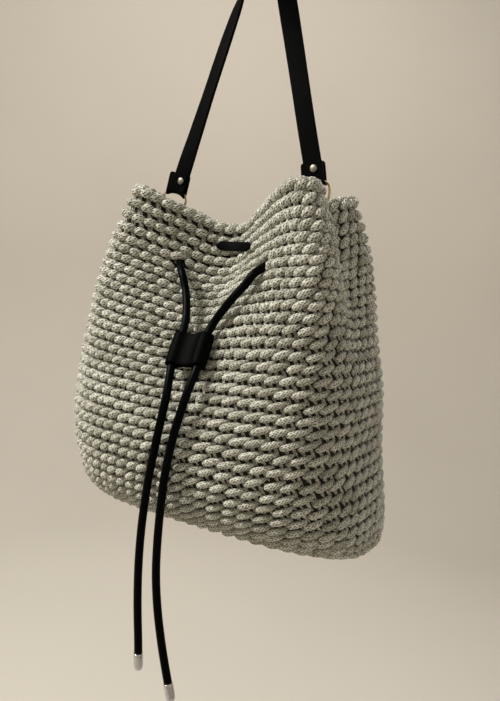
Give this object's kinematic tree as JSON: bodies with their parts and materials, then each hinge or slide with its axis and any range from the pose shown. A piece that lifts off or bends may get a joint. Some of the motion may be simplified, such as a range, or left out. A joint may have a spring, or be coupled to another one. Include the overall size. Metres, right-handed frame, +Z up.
{
  "type": "crochet bucket bag",
  "caption": "Soft crochet bucket bag of thick knitted cord with a drawn-in rim, a leather strap on metal rings and a drawstring with a leather lock and metal end caps, hung by its strap.",
  "frame": {"origin": "under the top of the strap, where it hangs on a peg", "axes": "+Z up, the front with the drawstring faces -Y, +X to the right seen from the front"},
  "size_m": [0.2738, 0.195, 0.5963],
  "materials": {
    "crochet_cord": "matt knitted tube cord, warm pale grey",
    "drawstring": "black round cord, slightly shiny",
    "black_leather": "black, smooth grain, satin",
    "silver_metal": "polished silver colour",
    "pale_gold_metal": "polished pale gold colour"
  },
  "bodies": {
    "root": {"bag_body": "crochet_cord", "drawstring_tail_left": "drawstring", "drawstring_tail_right": "drawstring", "drawstring_loop": "drawstring", "cord_lock": "black_leather", "end_cap_left": "silver_metal", "end_cap_right": "silver_metal", "strap": "black_leather", "strap_tab_left": "black_leather", "strap_tab_right": "black_leather", "rivet_left": "silver_metal", "rivet_right": "silver_metal", "ring_left": "pale_gold_metal", "ring_right": "pale_gold_metal", "label": "black_leather"}
  },
  "joints": []
}
